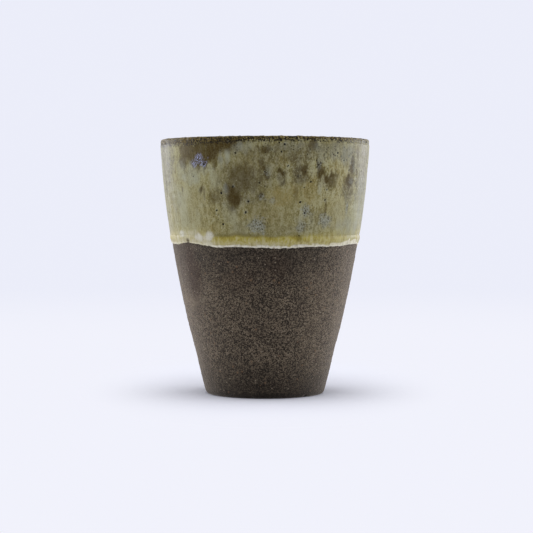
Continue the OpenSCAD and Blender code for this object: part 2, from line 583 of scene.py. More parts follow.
under_radii = np.linspace(0, ring_inside - 2 * HAIR, FLOOR_RINGS)
under = [(radius, underside_height("stoneware_body", radius)) for radius in under_radii]
stand = [(radius, 0) for radius in np.linspace(ring_inside, ring_outside, STAND_RINGS)]
bare_heights = np.arange(BARE_FROM, glaze_line + BARE_LAP, BARE_ROW)
smooth_heights = np.linspace(glaze_line + 3 * MM, clay_top - 2 * MM, SMOOTH_ROWS)
clay_lip_heights = lip_heights(clay_top - CLAY_LIP, clay_top, CLAY_LIP_ROWS)
outside_heights = (*HEEL_HEIGHTS, *bare_heights, *smooth_heights, *clay_lip_heights)
outside = [(outer_radius("stoneware_body", height), height) for height in outside_heights]
bore = np.linspace(clay_top - 3 * MM, floor_top + WELL_RISE, SMOOTH_ROWS)
inside_heights = (*clay_lip_heights[::-1], *bore)
inside = [(inner_radius("stoneware_body", height), height) for height in inside_heights]
well_radii = np.linspace(inside[-1][0] - WELL_STEP, 0, FLOOR_RINGS)
inside_floor = [(radius, floor_height("stoneware_body", radius)) for radius in well_radii]
clay = turned("clay_body", under + stand + outside + inside + inside_floor, CLAY_STEPS, ring=False)
say_mm("foot ring, inside and outside", ring_inside, ring_outside)

# %% Marks on the clay
STAINS = [
    (-53, 47, 4, 12.5, 1), (-62, 47, 7, 9, 0.5), (8, 48, 6, 5, 0.4), (-20, 44, 7, 4, 0.35),
    (140, 40, 6, 9, 0.7),
]
PALE_CLAY = [
    (-57, 36, 8, 2.6, 1), (64, 36, 5, 9, 0.4), (-30, 42, 8, 3, 0.25), (40, 40, 9, 8, 0.25),
    (38, 20, 6, 10, 0.25), (200, 30, 9, 9, 0.4),
]
FOOT_CHIPS = [
    (42, 0.4, 0.7, 0.7, 1), (-12, 0.3, 0.6, 0.4, 0.7), (120, 0.4, 0.9, 0.6, 1),
    (215, 0.3, 0.7, 0.6, 1),
]
print("marks on the clay:", len(STAINS + PALE_CLAY + FOOT_CHIPS))

# %% Hand work on the clay
THROWN_RINGS = 0.06 * MM
WAVER = 0.06 * MM
TOOTH = 0.04 * MM
GRAIN_SIZE = 0.9 * MM
GRAIN_UP = 0.1 * MM
RISEN_ABOVE = 0.7
PIT_DOWN = 0.12 * MM
SUNK_BELOW = 0.17
CHIP_DEEP = 0.4 * MM
TRIMMED_IN = 0.25 * MM
TRIMMED_AT = 17 * MM
TRIMMED_TALL = 7 * MM
BARE_FADE = 0.9 * MM
DARK_BAND_REACH = 19 * MM
DARK_BAND_TURNS = (math.radians(20), math.radians(55))
FOOT_SHADE_TALL = 20 * MM
HEEL_SHADOW_BAND = (0.2 * MM, 2.7 * MM)
BLOTCHY = 2 * MM

points, normals, turn, row = shape_of(clay.data)
height = points[:, 2]
line = glaze_line + line_shift(turn)
first_bare = len(under) + len(stand)
last_bare = first_bare + len(HEEL_HEIGHTS) + len(bare_heights)
bare = ((row >= first_bare) & (row < last_bare)).astype(float)
bare *= soft_step(line + MM - height, 0, BARE_FADE)
worked = np.clip(bare + (row < len(under)), 0, 1)

rings = lumps(points, 40 * MM, upwards=0.05)
waver = lumps(points, 9 * MM, octaves=2)
tooth = lumps(points, 0.75 * MM, octaves=2)
grain, lot = grit(points, GRAIN_SIZE)
risen = grain * (lot > RISEN_ABOVE)
sunk = soft_step(grain, 0.15, 0.8) * (lot < SUNK_BELOW)
chips = mark(FOOT_CHIPS, turn, height, 0.3 * waver)
move = THROWN_RINGS * rings + WAVER * waver + TOOTH * tooth
move += GRAIN_UP * risen - PIT_DOWN * sunk - CHIP_DEEP * chips
move -= TRIMMED_IN * np.exp(-((height - TRIMMED_AT) / TRIMMED_TALL) ** 2)
points += normals * (move * worked)[:, None]
points[:, 2] = np.maximum(points[:, 2], 0)
write_points(clay.data, points)
# The clay is darker in a band under the glaze line, less so on the right.
one_side = 1 - 0.7 * soft_step(turn, *DARK_BAND_TURNS)
for name, values in {
    "risen": risen * worked,
    "sunk": sunk * worked,
    "stain": mark(STAINS, turn, height, 0.5 * waver, 1.2),
    "pale": mark(PALE_CLAY, turn, height, 0.5 * waver, 1.4),
    "darker_under_glaze": one_side * (1 - soft_step(line - height + BLOTCHY * waver, MM, DARK_BAND_REACH)),
    # Painted shade: the clay is painted darker towards the foot, down to the floor.
    "damp": 1 - soft_step(height + BLOTCHY * waver, 0, FOOT_SHADE_TALL),
    # Painted shadow: a near-black band along the very bottom of the foot, where it meets the floor.
    "heel": 1 - soft_step(height + BLOTCHY / 5 * waver, *HEEL_SHADOW_BAND),
}.items():
    paint(clay.data, name, values)
say_mm("clay relief, lowest and highest", move.min(), move.max())

# %% Finish of the clay
CLAY_DARK = (0.014, 0.0102, 0.0067)
CLAY_MID = (0.0635, 0.0482, 0.0324)
CLAY_TAN = (0.225, 0.176, 0.117)
CLAY_RED = (0.028, 0.0112, 0.0055)
GROG_PALE = (0.27, 0.22, 0.155)
GROG_RUST = (0.17, 0.1, 0.055)
PIT_BLACK = (0.01, 0.008, 0.006)
SAND_DEEP = 0.18 * MM
DUSTY = {"Sheen Weight": 0.42, "Sheen Roughness": 0.5, "Sheen Tint": (1, 0.88, 0.76)}


def bare_stoneware():
    f = Finish("bare_stoneware")
    lot, _ = f.lots(0.4 * MM)
    sand = f.reckon("ADD", f.clouds(0.42 * MM, 2, 0.85), f.level(lot, 0, 1, -0.09, 0.09))
    bands = f.clouds(30 * MM, 3, 0.6, upwards=0.06)
    mottle = f.clouds(4 * MM, 2, 0.6)
    colour = f.layers(
        f.ramp(sand, (0.452, CLAY_DARK), (0.51, CLAY_MID), (0.563, CLAY_TAN)),
        (CLAY_TAN, f.level(bands, 0.5, 0.75, 0, 0.2)),
        (CLAY_TAN, "pale", 0.5),
        (CLAY_DARK, f.level(mottle, 0.6, 0.35, 0, 0.25)),
        # darker in a band under the glaze line
        (CLAY_DARK, "darker_under_glaze", 0.55),
        (CLAY_RED, "stain", 0.78),
        # painted shade, darker towards the foot
        (CLAY_DARK, "damp", 0.75),
        (CLAY_TAN, f.level("risen", 0.2, 0.8, 0, 0.45)),
        (GROG_RUST, f.grains(size=1.7 * MM, share=0.12, reach=0.3)),
        (GROG_PALE, f.grains(size=1.2 * MM, share=0.18, reach=0.28)),
        (PIT_BLACK, f.grains(size=1.1 * MM, share=0.24, reach=0.38)),
        (PIT_BLACK, f.level("sunk", 0.15, 0.7, 0, 0.65)),
        # painted shadow along the bottom of the foot
        (PIT_BLACK, "heel", 0.95),
    )
    for name, value in DUSTY.items():
        f.feed(f.shader.inputs[name], value)
    roughness = f.level(sand, 0.3, 0.7, 0.95, 0.8)
    return f.finish(colour, roughness, shine=0.1, height=sand, depth=SAND_DEEP, strength=0.9)


def dress(piece, material, node):
    """Gives a piece its finish, hangs it under the root and hides the solid that it stands for."""
    piece.data.materials.append(material)
    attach(piece, "root")
    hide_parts(node)
    print(piece.name, "points:", len(piece.data.vertices), "nodes:", len(material.node_tree.nodes))


dress(clay, bare_stoneware(), "stoneware_body")

# %% [markdown]
# ## Marks of the fire
# The glaze is thick in some runs and thin in others. Iron burns through where it is thin, milky veils
# hang where it is thick, crystals bloom, and gas leaves pinholes. Noise alone would put these marks
# anywhere, so the ones on the front are written down as a turn and a height, as a potter would point
# at them, and the back gets more of the same by lot. They are painted on the points of every coat, so
# that a mark runs on from one coat to the next, and relief and colour agree.
# A few of the marks near the far edges are painted light and shade, as said at their lists.
# A pinhole is a turn, a height and a radius. The other marks are ovals, as on the clay.

# %% Dark marks on the front
IRON = [
    (-47, 91.5, 3.6, 5, 0.85), (-44, 92, 5.4, 5, 0.95), (-36, 91.5, 6, 5, 0.95),
    (-28, 92.5, 5, 5, 1), (-25.5, 93.4, 4.4, 3.2, 1), (-19, 95, 4.5, 3, 1),
    (-22, 93.6, 4, 2.4, 0.9), (-24.5, 92, 3, 2.5, 0.8), (-32, 88.6, 3, 2.6, 1),
    (-40, 89, 4.5, 3, 0.9), (-27, 87.6, 1.2, 2, 0.7), (-17, 75, 2.6, 4.4, 1),
    (-20, 77.6, 1.2, 1.6, 0.9), (-13, 81.5, 5, 5.5, 0.6), (-18.5, 71.5, 1.7, 2.6, 0.3),
    (0.5, 92.4, 1.7, 1.3, 0.85), (-2, 87.4, 1, 1.8, 0.7), (-0.5, 85.4, 0.8, 1, 0.9),
    (-2, 74.6, 1, 1, 0.7), (26, 93.6, 1.9, 2.2, 0.9), (31.4, 83.6, 1.8, 2.8, 1),
    (36.8, 81.8, 2.8, 1.7, 0.95), (41.2, 83.2, 0.6, 1.2, 0.6), (38.8, 79.3, 1.4, 1.7, 0.7),
    (53.4, 80.4, 2.5, 2.2, 1), (55, 87, 1.4, 2.6, 1), (54.3, 85.6, 1.5, 1.6, 0.9),
    (30.2, 86, 1, 2.4, 0.9), (-33.5, 86.6, 2, 1.4, 0.85), (-37, 78.2, 0.9, 1.5, 0.9),
    (-35.2, 75.6, 0.5, 2.2, 0.6), (-52, 78, 0.5, 1.2, 0.7), (36, 71.5, 0.5, 2.4, 0.7),
    (-30, 74.5, 1.6, 2.6, 0.6), (17, 76, 0.9, 2.2, 0.5), (43, 94.4, 3, 1.2, 0.25),
    (-49.5, 88, 2.6, 3.8, 0.9), (8.6, 84.1, 1.3, 0.9, 1), (0.3, 83.4, 0.6, 0.7, 0.9),
    (1.5, 81.9, 0.8, 0.8, 0.8), (-3.4, 91.9, 1.2, 0.5, 0.7), (-14.4, 84, 0.5, 3, 0.6),
    (21.5, 84.8, 1.1, 1.6, 0.8), (-52.6, 57.2, 0.9, 2, 0.95), (20, 60.6, 1.3, 1.6, 0.45),
    (-60, 95, 16, 1.6, 0.5), (54, 70.6, 0.4, 2, 0.6), (71, 83, 0.9, 4.5, 0.5),
]
SMOKE_AND_FLANK_SHADE = [
    (9, 82, 1.8, 3.1, 0.95), (19.4, 83.4, 3, 3.8, 1), (37, 80.8, 4.6, 2.6, 0.7),
    # The two wide marks at turns 67 and -69 are painted shade on both upper flanks.
    (-18.5, 75.5, 4, 5, 0.7), (67, 88, 7.5, 12, 0.9), (-69, 89, 6.5, 11, 0.85),
    (-60, 76, 5, 6, 0.35), (53.4, 78.2, 3.7, 5, 1), (-9, 81, 7, 6, 0.75),
    (-7, 74.5, 4.4, 2.6, 0.65), (-25, 75, 3, 3, 0.6), (-8, 86, 11, 7, 0.3), (-22, 82, 3, 5, 0.5),
    (-5, 85, 6, 6, 0.45), (12, 92.6, 6, 2, 0.5), (-14, 73, 4, 3, 0.35), (2, 84, 2, 6, 0.5),
    (14, 63, 6, 1.5, 0.3), (-3, 71, 4, 4, 0.25), (4, 66, 5, 4, 0.15), (-46, 87, 4, 2, 0.15),
    (19.5, 90.3, 5.5, 4.2, 0.8), (0, 89.2, 10, 3, 0.55), (24, 91, 8, 2.4, 0.35),
    (30.4, 86.8, 1.2, 1.8, 0.7), (53, 88.5, 4, 5, 0.4),
]
PEPPER = [
    (36, 91, 17, 3.4, 1), (56, 91, 7, 3, 1), (10, 93, 13, 2.6, 0.9), (-63, 87.5, 4, 5, 1),
    (-27, 66, 3, 3.4, 0.8), (57, 86.4, 2, 3.6, 1), (24, 68, 4, 5, 0.6), (2, 82, 3, 7, 0.6),
    (-4, 65, 4, 4, 0.9), (30, 85, 2, 3, 0.9), (19.5, 83.5, 2.4, 3.6, 1), (9, 82.5, 1.8, 3, 0.7),
    (-30, 93, 16, 3, 0.8), (36.5, 66.2, 3, 3, 0.8),
]
PINHOLES = [
    (-42.3, 82.4, 0.3), (-24.5, 76.3, 0.45), (-9.1, 73.2, 0.45), (-10.6, 69.2, 0.45),
    (-27.7, 70, 0.4), (-24.3, 65, 0.4), (-25.6, 65.7, 0.28), (-2.9, 79.9, 0.35), (19.7, 73, 0.42),
    (35.1, 73.7, 0.4), (25.5, 80.3, 0.42), (-34.5, 86.8, 0.4), (12.4, 86.1, 0.35),
    (39.2, 90.3, 0.35), (40.3, 92, 0.3), (42.2, 90.9, 0.42), (44.8, 89.8, 0.3), (51.5, 90.1, 0.3),
    (55.2, 89.8, 0.3), (8.7, 91.1, 0.32), (10.3, 93.7, 0.42), (7.5, 94.3, 0.35), (22.8, 69, 0.4),
    (-17.4, 78.6, 0.38), (28.4, 88, 0.35), (29.6, 86.5, 0.3), (31, 87.1, 0.35), (28.8, 85.6, 0.3),
    (20, 60.8, 0.3), (-15.5, 90.7, 0.35), (0, 78.7, 0.3), (0, 83.9, 0.28), (21.7, 78.3, 0.3),
    (60, 85, 0.35), (60.5, 82, 0.3), (36, 77.6, 0.3), (-19.5, 95.4, 0.35), (54, 87.6, 0.3),
    (52.4, 84.8, 0.35), (33, 90.4, 0.28), (-66, 84, 0.3), (-62, 86.6, 0.28), (40.4, 89.9, 0.3),
    (47.3, 88.3, 0.32), (49.8, 88.5, 0.3), (67, 84.4, 0.32),
]
print("dark marks on the front:", len(IRON + SMOKE_AND_FLANK_SHADE + PEPPER + PINHOLES))

# %% Pale and warm marks on the front
# The faint marks at turns -79 to -66 and 68 to 72 are painted reflection: the grey that the pale
# surroundings lay on the far flanks.
VEIL_AND_EDGE_REFLECTION = [
    (-66, 89, 5.5, 5, 0.25), (-74, 80, 6, 14, 0.25), (-21.5, 77, 1.1, 2, 0.7),
    (-13, 92.4, 4, 2, 0.5), (11, 93, 6, 1.4, 0.45), (42, 91.6, 10, 3.4, 0.8), (49, 91, 6, 4, 0.7),
    (70, 88, 6, 8, 0.2), (72, 76, 7, 8, 0.6), (30, 66, 8, 3, 0.35), (58, 64, 8, 3, 0.4),
    (-14, 64, 3, 2, 0.3), (68, 82, 4.6, 7, 0.15), (-79, 88, 5, 6, 0.2),
]
MIST_RUNS_AND_RIM_LIGHT = [
    (-24, 88, 1, 2.6, 0.9), (-52, 84.4, 3, 3.4, 0.5), (-20, 89.8, 1.1, 2.4, 0.8),
    (-11, 93, 3, 1.6, 0.5), (-34, 84.4, 3, 2, 0.6), (-28, 81.5, 2.4, 3.6, 0.4),
    (-39, 83.6, 2, 2, 0.5), (-43, 84, 3.4, 3, 0.8), (-45, 82.3, 4.5, 2.4, 0.9),
    (51, 72, 1.5, 4.5, 0.5), (64, 66, 7, 7, 0.6), (-52, 70, 9, 9, 0.45), (-20, 69, 3, 3, 0.3),
    # The mark at turn 85 is a painted rim light along the right edge.
    (31, 77.6, 1.1, 2.2, 0.5), (-56, 64, 8, 4, 0.3), (-45, 80, 5, 5, 0.25), (85, 69, 5, 5, 0.9),
    (48, 68, 6, 6, 0.3),
]
CLEAR_RUNS = [(36.6, 84.4, 0.8, 2, 1), (40.4, 84.8, 0.6, 1.5, 0.9), (-46, 86.4, 0.8, 2.4, 0.6)]
OCHRE = [
    (-45, 92.5, 4, 4, 1), (-58, 94.8, 7, 1.2, 0.4), (9, 75, 5, 4, 0.95), (17, 76.2, 1.7, 2.6, 1),
    (-31, 63.5, 3, 2, 0.6), (-65, 69, 5, 6, 0.4), (26, 77, 4, 5, 0.7), (45, 83, 5, 6, 0.6),
    (0, 69, 7, 4, 0.5), (-8, 87, 4, 4, 0.6), (-40, 70, 7, 7, 0.35), (44, 70, 6, 6, 0.5),
    (9, 88, 5, 2, 0.5),
]
FROST = [
    (-4.5, 64.4, 3.2, 2.9, 1), (23.4, 69.6, 1.9, 2, 1), (36.5, 66.2, 2.5, 2.2, 0.9),
    (21, 64, 1.6, 2, 0.7), (-1.5, 74.4, 1.2, 1.1, 0.6), (4, 73.7, 1, 1.2, 0.6),
    (29.8, 86.5, 1, 1.8, 0.6), (53.5, 70.4, 0.7, 2, 0.9), (1.5, 84, 0.8, 2, 0.5),
    (55, 80.6, 1.4, 1.2, 0.5), (57.2, 86.2, 1, 1.8, 0.5),
]
BLOOM = [(-41, 87, 1.5, 1.1, 0.75), (-37.4, 88.5, 2, 1.7, 1), (-34.6, 87.6, 1.5, 1.3, 0.9)]
RESTLESS = [
    (-40, 89, 11, 6, 0.9), (20, 88, 24, 7, 0.9), (38, 82, 13, 8, 1), (56, 82, 6, 13, 1),
    (-15, 76, 9, 9, 0.7), (0, 85, 14, 8, 0.6), (26, 68, 8, 5, 0.6), (-30, 70, 6, 8, 0.5),
    (4, 69, 12, 6, 0.35), (42, 70, 13, 7, 0.4),
]
print("pale and warm marks:", len(VEIL_AND_EDGE_REFLECTION + MIST_RUNS_AND_RIM_LIGHT + OCHRE + FROST + BLOOM + RESTLESS))

# %% Marks on the back
BACK_TURNS = (78, 282)
BACK_HEIGHTS = (63, 94)
LOT_SEED = 7
lots = random.Random(LOT_SEED)


def by_lot(count, wide, tall, strong):
    """Marks for the back of the cup: turn, height, half width, half height and strength."""
    made = []
    for _ in range(count):
        turn = (lots.uniform(*BACK_TURNS) + 180) % 360 - 180
        height = lots.uniform(*BACK_HEIGHTS)
        made.append((turn, height, lots.uniform(*wide), lots.uniform(*tall), lots.uniform(*strong)))
    return made


for places, count, wide, tall, strong in (
    (IRON, 12, (0.4, 1.4), (1.5, 4), (0.5, 1)),
    (IRON, 7, (2, 6), (2.5, 5), (0.3, 0.8)),
    (SMOKE_AND_FLANK_SHADE, 10, (1.5, 3), (3, 6), (0.3, 0.7)),
    (SMOKE_AND_FLANK_SHADE, 4, (5, 9), (4, 7), (0.3, 0.6)),
    (VEIL_AND_EDGE_REFLECTION, 9, (2, 8), (2, 9), (0.4, 0.9)),
    (MIST_RUNS_AND_RIM_LIGHT, 8, (1, 4), (2, 5), (0.4, 0.8)),
    (OCHRE, 10, (2, 7), (3, 7), (0.4, 0.9)),
    (FROST, 9, (0.6, 2.6), (1.2, 2.8), (0.4, 0.9)),
    (BLOOM, 2, (1.2, 2.2), (1.2, 2.2), (0.7, 1)),
    (PEPPER, 9, (2, 14), (2, 5), (0.5, 1)),
    (RESTLESS, 6, (7, 14), (6, 10), (0.6, 1)),
):
    places += by_lot(count, wide, tall, strong)
PINHOLES += [place[:3] for place in by_lot(40, (0.28, 0.45), (1, 1), (1, 1))]
print("all round the cup:", len(IRON), "iron marks and", len(PINHOLES), "pinholes")

# %% [markdown]
# ## Marks near the edges of the dips
# Where one dip ends on another, the edge changes on its way round the cup: here it is sharp, there it
# has sunk into the coat below. Where it is sharp, a dark band of painted shade runs along it. Milk,
# and the spikes and breaks of the pale line, are ovals again. The other lists give a value for turns
# in degrees: how sharp the edge of the second dip is over the roll and how strong the painted shade
# along it, how far the roll has melted away or blurred, and, for the lip, how low the iron wash comes
# down in mm and how tan it is.

# %% Marks near the edges of the dips
MILK = [
    (-34.3, 60.3, 1.7, 1.6, 1), (-58, 61.2, 1.6, 1.3, 1), (-42, 59.8, 1.9, 1.7, 1),
    (-37, 58.6, 3, 1.2, 0.5), (-50, 59.4, 10, 3.2, 0.25), (-75, 60, 8, 3.4, 0.1),
    (150, 59, 14, 2, 0.6),
]
SPIKES = [
    (58, 57.8, 4, 0.8, 0.9), (31, 57.5, 1.4, 0.5, 0.6), (60.6, 58.5, 0.7, 1, 0.9),
    (68, 58.2, 3, 0.9, 0.9), (76.5, 59.3, 0.7, 1.5, 0.9), (48, 57.4, 5, 0.7, 0.7),
    (100, 58.6, 1, 1.4, 1), (160, 58.6, 1.2, 1.4, 1), (-120, 58.6, 1.3, 1.3, 1),
]
CREAM_BREAKS = [(-52.6, 57, 0.9, 1.6, 0.8)]
SEAM = [(-180, 0.4), (-150, 0), (-37, 0), (-26, 1), (-8, 1), (-2, 0.5), (35, 0.3), (180, 0.4)]
BLURRED = [(-180, 1), (-150, 0), (18, 0), (44, 1), (180, 1)]
MELTED = [
    (-150, 0), (-95, 0), (-72, 0.7), (-60, 1), (-40, 1), (-30, 0), (35, 0), (58, 0.7), (72, 0.6),
    (90, 0.2), (150, 0),
]
LIP_EDGE = [
    (-180, 94.9), (-100, 94.4), (-78, 94.2), (-60, 94), (-45, 94.2), (-30, 94.4), (-12, 94.9),
    (0, 95.2), (25, 95.4), (36, 95.6), (48, 95), (62, 95.6), (80, 95.6), (130, 94.8), (180, 94.9),
]
LIP_TAN = [
    (-180, 0.45), (-78, 0.3), (-66, 0.15), (-50, 0.3), (-32, 0.15), (-5, 0.2), (30, 0.25),
    (45, 0.25), (62, 0.3), (80, 0.25), (130, 0.4), (180, 0.45),
]
print("marks near the edges:", len(MILK + SPIKES + CREAM_BREAKS))

# %% Marks that follow the edges
CREAM_SOFT = 0.15 * MM
SEAM_AT = 0.4 * MM
SEAM_WIDE = 0.75 * MM
THIN_BAND = (0.6 * MM, 2.8 * MM)


def edge_marks(turn, height, skin, ragged, crumbly):
    """The marks that follow the lower edges of the dips and the lip."""
    blurred = around_cup(turn, BLURRED)
    melted = around_cup(turn, MELTED)
    above_line = height - glaze_line + 0.5 * MM * ragged
    above_roll = height - over_line - seam_shift(turn) - 0.6 * MM * ragged
    amber_fade = (1.2 + 4 * melted + 1.6 * blurred) * MM
    uneven = 0.45 * np.abs(crumbly) + 0.5 * lumps(skin, 3.5 * MM, octaves=2)
    cream_edge = glaze_line + (0.55 + uneven) * MM
    cream = soft_step(cream_edge - height, -CREAM_SOFT, CREAM_SOFT)
    cream = np.maximum(cream, mark(SPIKES, turn, height, ragged, 0.4))
    lip_edge = around_cup(turn, LIP_EDGE) * MM
    return {
        "amber": 1 - soft_step(above_roll, -SEAM_AT, amber_fade - SEAM_AT),
        "thin": (1 - 0.6 * blurred) * (1 - soft_step(above_line, *THIN_BAND)),
        "blurred": blurred,
        "sunk_in": melted * (1 - blurred),
        # Painted shade: a dark band just above the top of the roll, under the edge of the second coat.
        "seam": around_cup(turn, SEAM) * np.exp(-((above_roll - SEAM_AT) / SEAM_WIDE) ** 2),
        "cream": cream * (1 - mark(CREAM_BREAKS, turn, height, ragged)),
        "lip": np.clip((height - lip_edge + MM) / (2 * MM), 0, 1),
        "tan": around_cup(turn, LIP_TAN) + 0.3 * ragged,
    }


say_mm("seam above the edge of the second dip", SEAM_AT)

# %% Painting the marks
FAR_FROM_HOLE = 6
DRIP_FALL = 2.2 * MM


def hole_distance(turn, height, skin):
    """How far each point is from the nearest pinhole, counted in that pinhole's own radius."""
    nearest = np.full_like(turn, FAR_FROM_HOLE)
    for at_turn, at_height, radius in PINHOLES:
        across = across_from(turn, at_turn, at_height)
        nearest = np.minimum(nearest, np.hypot(across, height - at_height * MM) / (radius * MM))
    return nearest * (1.3 + 0.9 * lumps(skin, 0.45 * MM))


def paint_marks(piece):
    """Paints every mark on a coat and hands back those that are also relief."""
    points, _, turn, _ = shape_of(piece.data)
    height = points[:, 2]
    skin = around(turn, wall_radius(height), height)
    runs = lumps(skin, 3 * MM, upwards=7, octaves=2)
    pools = lumps(skin, 7 * MM, octaves=3)
    drips = DRIP_FALL * lumps(skin, 1.9 * MM, upwards=5)
    ragged = 0.35 * lumps(skin, 2.4 * MM, octaves=3)
    crumbly = ragged + 0.5 * lumps(skin, MM, octaves=2)
    marks = edge_marks(turn, height, skin, ragged, crumbly)
    for name, places, dripping, edge, soft in (
        ("iron", IRON, 1, ragged, 1),
        ("mist", MIST_RUNS_AND_RIM_LIGHT, 0.6, ragged, 0.9),
        ("smoke_and_flank_shade", SMOKE_AND_FLANK_SHADE, 0.5, ragged, 0.9),
        ("veil", VEIL_AND_EDGE_REFLECTION, 0.8, ragged, 1.1),
        ("ochre", OCHRE, 1, ragged, 1.5),
        ("frost", FROST, 0.4, crumbly, 0.9),
        ("bloom", BLOOM, 0.4, crumbly, 1.2),
        ("pepper", PEPPER, 0, ragged, 0.9),
        ("restless", RESTLESS, 0, ragged, 1.4),
        ("milk", MILK, 0, ragged, 0.9),
    ):
        marks[name] = mark(places, turn, height + dripping * drips, edge, soft)
    marks["iron"] *= 1 - mark(CLEAR_RUNS, turn, height, ragged)
    marks["thick"] = np.clip(0.5 + 0.16 * runs + 0.26 * pools, 0, 1)
    marks["hole"] = hole_distance(turn, height, skin)
    for name, values in marks.items():
        paint(piece.data, name, values)
    return {**marks, "runs": runs, "pools": pools}


say_mm("longest drips", DRIP_FALL)

# %% [markdown]
# ## Finish of the melted glaze
# All the outer coats melted into one another, so one recipe colours them all and each mark decides
# how much of its own colour shows. The order is the order of the layers: the body of the glaze, the
# veils and stains in it, the crystals on it, and last the edge and the lip.

# %% Colours of the glaze
OLIVE_THIN = (0.21, 0.177, 0.062)
OLIVE = (0.333, 0.3, 0.132)
OLIVE_PALE = (0.425, 0.4, 0.228)
VEIL_AND_REFLECTION_GREY = (0.23, 0.234, 0.186)
MIST_AND_RIM_LIGHT = (0.37, 0.38, 0.28)
OCHRE_BROWN = (0.33, 0.25, 0.07)
SMOKE_AND_SHADE_GREY = (0.105, 0.085, 0.045)
IRON_BROWN = (0.06, 0.036, 0.003)
FROST_GREY = (0.31, 0.325, 0.27)
BLOOM_BLUE = (0.48, 0.52, 0.78)
BLOOM_DARK = (0.05, 0.04, 0.045)
NEAR_BLACK = (0.012, 0.009, 0.005)
SPECK_BROWN = (0.11, 0.09, 0.035)
AMBER_DEEP = (0.3, 0.23, 0.05)
AMBER = (0.46, 0.39, 0.085)
AMBER_PALE = (0.54, 0.485, 0.23)
SEAM_SHADE_OLIVE = (0.165, 0.134, 0.03)
MILK_WHITE = (0.66, 0.635, 0.52)
CREAM_TAN = (0.56, 0.51, 0.37)
CREAM = (0.8, 0.765, 0.61)
LIP_BROWN = (0.1, 0.072, 0.016)
LIP_RUST = (0.23, 0.16, 0.042)
LIP_PALE = (0.46, 0.39, 0.2)
print("darkest and palest glaze:", NEAR_BLACK, CREAM)

# %% Body of the glaze
class Glaze(Finish):
    """A finish with the patterns that all the layers of a melted glaze share."""

    def __init__(self, name):
        super().__init__(name)
        self.runs = self.clouds(2.6 * MM, 2, 0.5, upwards=8)
        self.cells = self.clouds(1.1 * MM, 3, 0.7, upwards=2)
        self.fine = self.clouds(0.45 * MM, 2, 0.7, upwards=1.3)
        self.crystals = self.clouds(0.5 * MM, 3, 0.75, upwards=1.4)
        self.specks = self.clouds(0.65 * MM, 3, 0.8)
        strokes = self.clouds(1.5 * MM, 3, 0.75, upwards=2.2)
        self.strokes = self.level(strokes, 0.36, 0.64, -0.88, 0.88)

    def swing(self, pattern, reach):
        """A pattern that swings this far to both sides of 0."""
        return self.level(pattern, 0.25, 0.75, -reach, reach)

    def broken(self, least, most):
        """What the cells let through, from least to most."""
        return self.level(self.cells, 0.3, 0.7, least, most)


def olive_body(f):
    """The second dip: darker where it is thin, paler where it is thick."""
    stirred = f.reckon("MULTIPLY", f.strokes, "restless")
    swings = (f.swing(f.runs, 0.22), f.swing(f.cells, 0.3), f.swing(f.fine, 0.42))
    body = f.reckon("ADD", "thick", *swings, stirred)
    return f.ramp(body, (0, OLIVE_THIN), (0.5, OLIVE), (1, OLIVE_PALE))


def amber_body(f):
    """The first dip: honey where it is thick, and paler where it is thin, blurred or sunk in."""
    stirred = f.reckon("MULTIPLY", f.strokes, 0.35)
    body = f.reckon("ADD", "thick", f.swing(f.cells, 0.4), stirred)
    return f.layers(
        f.ramp(body, (0, AMBER_DEEP), (0.5, AMBER), (1, AMBER_PALE)),
        (CREAM_TAN, "thin", f.broken(0.15, 0.6)),
        (OLIVE_PALE, "blurred", f.broken(0.2, 0.5)),
        (CREAM_TAN, "sunk_in", f.broken(0.15, 0.55)),
    )


def pale_edge(f):
    """The milky edge of the glaze, more amber where the roll has sunk in."""
    edge = f.ramp(f.cells, (0.35, CREAM_TAN), (0.55, CREAM))
    return f.layers(edge, (AMBER_PALE, "sunk_in", 0.45))


def iron_wash(f):
    """The wash on the lip, from black to a pale tan."""
    shade = f.reckon("ADD", f.specks, f.level("tan", 0, 1, -0.07, 0.08))
    dark = ((0.42, NEAR_BLACK), (0.465, LIP_BROWN))
    return f.ramp(shade, *dark, (0.53, LIP_RUST), (0.6, LIP_PALE))


print("dips and wash ready")

# %% Layers of the glaze
GLAZE_TOOTH = 0.03 * MM


